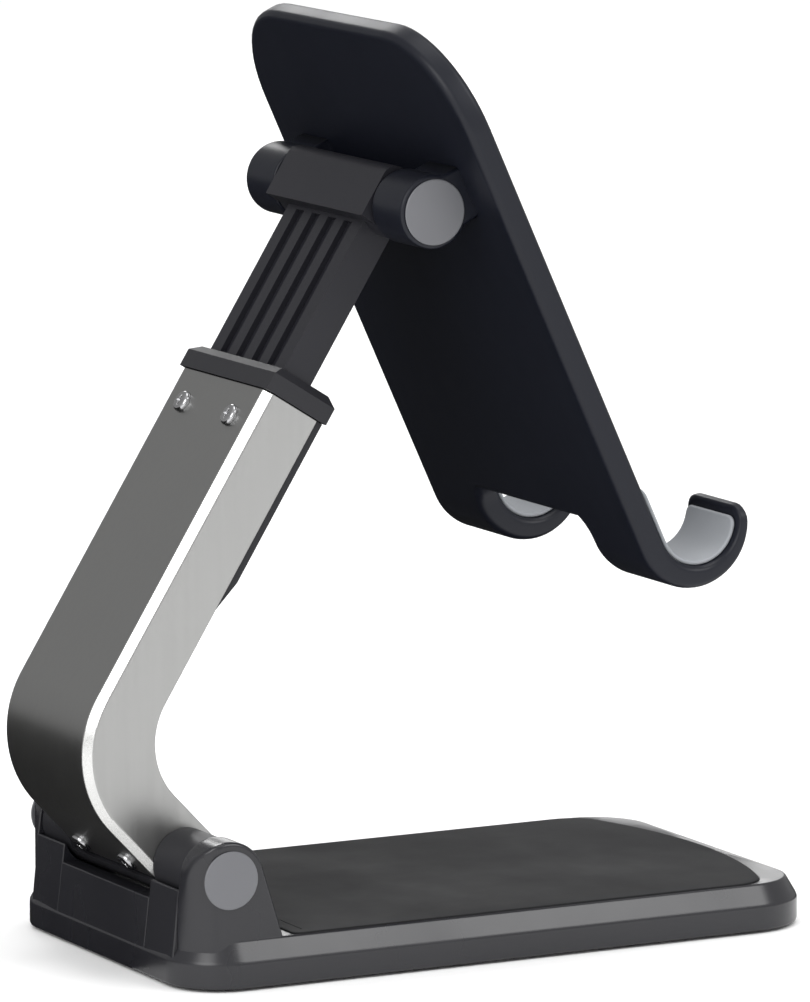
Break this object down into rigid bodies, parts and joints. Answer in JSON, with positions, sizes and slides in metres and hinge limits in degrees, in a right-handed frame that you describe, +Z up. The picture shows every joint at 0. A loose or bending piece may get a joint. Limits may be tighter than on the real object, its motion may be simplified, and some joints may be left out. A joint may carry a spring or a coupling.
{
  "type": "phone stand",
  "caption": "Folding desk phone stand: weighted base, bent metal arm with a telescoping ribbed slider, and a tilting plate with padded hooks.",
  "frame": {"origin": "middle of the base's underside, on the table", "axes": "+Z up, +X across the base, +Y towards the hinge at the rear; the user and the phone's screen face -Y"},
  "size_m": [0.0752, 0.1301, 0.1566],
  "materials": {
    "base_plastic": "dark charcoal moulded plastic, satin, glossy on the bevel",
    "bottom_plastic": "black moulded plastic, fine texture",
    "dark_silicone": "dark grey silicone, matte",
    "grey_silicone": "light grey silicone, matte",
    "foot_silicone": "black silicone, matte",
    "sleeve_metal": "brushed and anodised silver, satin",
    "arm_plastic": "black moulded plastic, satin",
    "slider_plastic": "black ribbed moulded plastic, satin",
    "plate_plastic": "near-black blue moulded plastic, fine matte texture",
    "cap_grey": "mid grey satin plastic",
    "screw_steel": "bright plated steel",
    "hinge_steel": "turned steel",
    "weight_steel": "plain steel plate",
    "stop_plastic": "natural acetal"
  },
  "bodies": {
    "base": {"base_shell": "base_plastic", "base_bottom_plate": "bottom_plastic", "base_weight": "weight_steel", "base_top_pad": "dark_silicone", "base_foot_pad": "foot_silicone", "base_cover_screws": "screw_steel", "base_hinge_pin": "hinge_steel", "base_hinge_nut": "hinge_steel", "base_spring_washers": "hinge_steel", "base_cap_left": "cap_grey", "base_cap_right": "cap_grey"},
    "arm": {"arm_sleeve": "sleeve_metal", "arm_front_cover": "arm_plastic", "arm_collar": "arm_plastic", "collar_screws": "screw_steel", "arm_hinge_barrel": "arm_plastic", "barrel_screws": "screw_steel"},
    "slider": {"slider_bar": "slider_plastic", "slider_stop": "stop_plastic", "slider_stop_screws": "screw_steel", "slider_spring": "hinge_steel"},
    "head": {"phone_plate": "plate_plastic", "plate_pad": "dark_silicone", "hook_pad_left": "grey_silicone", "hook_pad_right": "grey_silicone", "head_hinge_pin": "hinge_steel", "head_hinge_nut": "hinge_steel", "head_spring_washers": "hinge_steel", "head_cap_left": "cap_grey", "head_cap_right": "cap_grey"}
  },
  "joints": [
    {"name": "base_hinge", "type": "hinge", "parent": "base", "child": "arm", "pos_m": [0, 0.0519, 0.0185], "axis": [1, 0, 0], "range_deg": [-8, 30]},
    {"name": "arm_slide", "type": "slide", "parent": "arm", "child": "slider", "axis": [0, -0.5299, 0.848], "range_m": [-0.022, 0.015]},
    {"name": "head_tilt", "type": "hinge", "parent": "slider", "child": "head", "pos_m": [0, 0.01165, 0.12612], "axis": [1, 0, 0], "range_deg": [-60, 50]}
  ]
}
